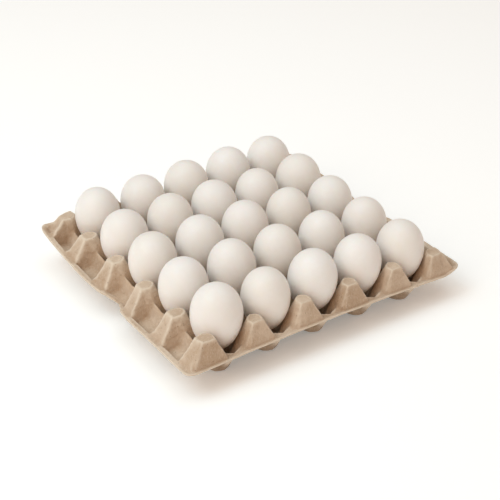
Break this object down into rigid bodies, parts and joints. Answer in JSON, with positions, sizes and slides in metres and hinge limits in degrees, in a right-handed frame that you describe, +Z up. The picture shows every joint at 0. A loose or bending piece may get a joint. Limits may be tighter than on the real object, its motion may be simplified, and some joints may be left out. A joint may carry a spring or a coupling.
{
  "type": "egg tray with eggs",
  "caption": "Open moulded-pulp egg tray with a grid of cups, blunt posts and finger notches, filled with white hen's eggs standing on their points.",
  "frame": {"origin": "on the floor, at the middle of the bottom of the whole object's box", "axes": "+Z up, X across the tray from one wide margin with a finger notch to the other, Y along the wide margins"},
  "size_m": [0.2826, 0.2638, 0.0778],
  "materials": {
    "pulp": "rough, fibrous moulded grey-brown paper pulp",
    "eggshell": "matte warm white eggshell"
  },
  "bodies": {
    "root": {"tray": "pulp", "egg_1_1": "eggshell", "egg_2_1": "eggshell", "egg_3_1": "eggshell", "egg_4_1": "eggshell", "egg_5_1": "eggshell", "egg_1_2": "eggshell", "egg_2_2": "eggshell", "egg_3_2": "eggshell", "egg_4_2": "eggshell", "egg_5_2": "eggshell", "egg_1_3": "eggshell", "egg_2_3": "eggshell", "egg_3_3": "eggshell", "egg_4_3": "eggshell", "egg_5_3": "eggshell", "egg_1_4": "eggshell", "egg_2_4": "eggshell", "egg_3_4": "eggshell", "egg_4_4": "eggshell", "egg_5_4": "eggshell", "egg_1_5": "eggshell", "egg_2_5": "eggshell", "egg_3_5": "eggshell", "egg_4_5": "eggshell", "egg_5_5": "eggshell"}
  },
  "joints": []
}
